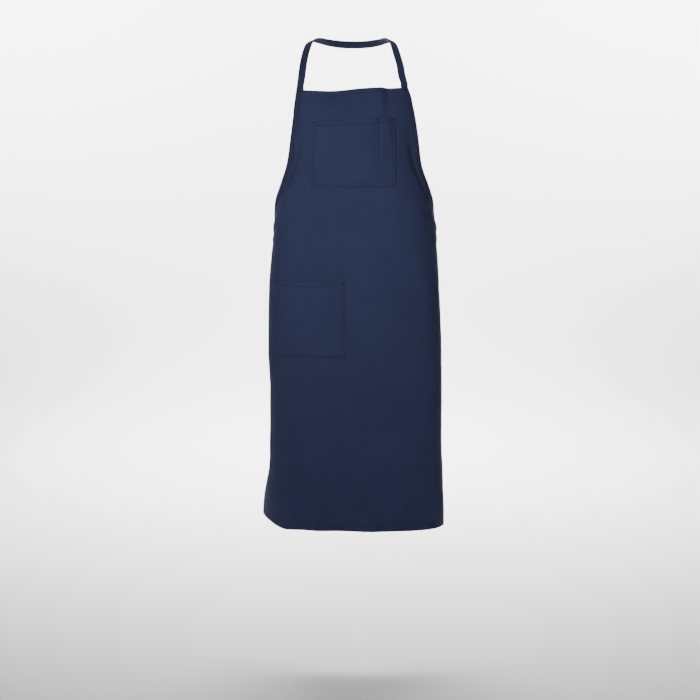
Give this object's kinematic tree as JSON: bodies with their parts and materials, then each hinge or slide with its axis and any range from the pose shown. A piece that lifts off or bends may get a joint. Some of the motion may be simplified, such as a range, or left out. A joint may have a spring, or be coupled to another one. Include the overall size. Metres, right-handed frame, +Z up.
{
  "type": "welding apron",
  "caption": "Navy cotton bib apron with a neck loop, bound armholes, a divided chest pocket, a hip pocket and waist ties tied in a bow behind.",
  "frame": {"origin": "centre of the neck loop, level with the tape behind the neck", "axes": "+Z up along the apron, from the hem to the neck; +Y shortest, from the front of the apron to the bow behind; +X to the wearer's left"},
  "size_m": [0.4382, 0.2567, 1.1822],
  "materials": {
    "panel_cloth": "matt cotton twill, low sheen",
    "pocket_cloth": "matt cotton twill, low sheen",
    "twill_tape": "folded and edge-stitched cotton tape",
    "sewing_thread": "tone-on-tone lockstitch thread"
  },
  "bodies": {
    "neck_loop": {"neck_strap": "twill_tape", "neck_strap_stitching": "sewing_thread"},
    "apron_panel": {"body_panel": "panel_cloth", "bib_top_hem": "panel_cloth", "armhole_binding_left": "twill_tape", "armhole_binding_right": "twill_tape", "side_hem_left": "panel_cloth", "side_hem_right": "panel_cloth", "bottom_hem": "panel_cloth", "chest_pocket": "pocket_cloth", "chest_pocket_mouth_hem": "pocket_cloth", "hip_pocket": "pocket_cloth", "hip_pocket_mouth_hem": "pocket_cloth", "chest_pocket_stitching": "sewing_thread", "pencil_slot_stitching": "sewing_thread", "hip_pocket_stitching": "sewing_thread", "hem_stitching": "sewing_thread", "binding_stitching_left": "sewing_thread", "binding_stitching_right": "sewing_thread", "pocket_bartacks": "sewing_thread", "strap_bartacks": "sewing_thread"},
    "waist_ties": {"waist_tie_left": "twill_tape", "waist_tie_right": "twill_tape", "waist_knot": "twill_tape", "bow_loop_left": "twill_tape", "bow_loop_right": "twill_tape"},
    "tie_end_l": {"tie_end_left": "twill_tape"},
    "tie_end_r": {"tie_end_right": "twill_tape"}
  },
  "joints": [
    {"name": "bib_swing", "type": "hinge", "parent": "neck_loop", "child": "apron_panel", "pos_m": [0, -0.0978, -0.1035], "axis": [-1, 0, 0], "range_deg": [-15, 90]},
    {"name": "waist_tie_swing", "type": "hinge", "parent": "apron_panel", "child": "waist_ties", "pos_m": [0, 0.0112, -0.4458], "axis": [1, 0, 0], "range_deg": [-25, 60]},
    {"name": "tie_end_left_swing", "type": "hinge", "parent": "waist_ties", "child": "tie_end_l", "pos_m": [0.0055, 0.095, -0.4523], "axis": [1, 0, 0], "range_deg": [-15, 60]},
    {"name": "tie_end_right_swing", "type": "hinge", "parent": "waist_ties", "child": "tie_end_r", "pos_m": [-0.0055, 0.095, -0.4523], "axis": [1, 0, 0], "range_deg": [-15, 60]}
  ]
}
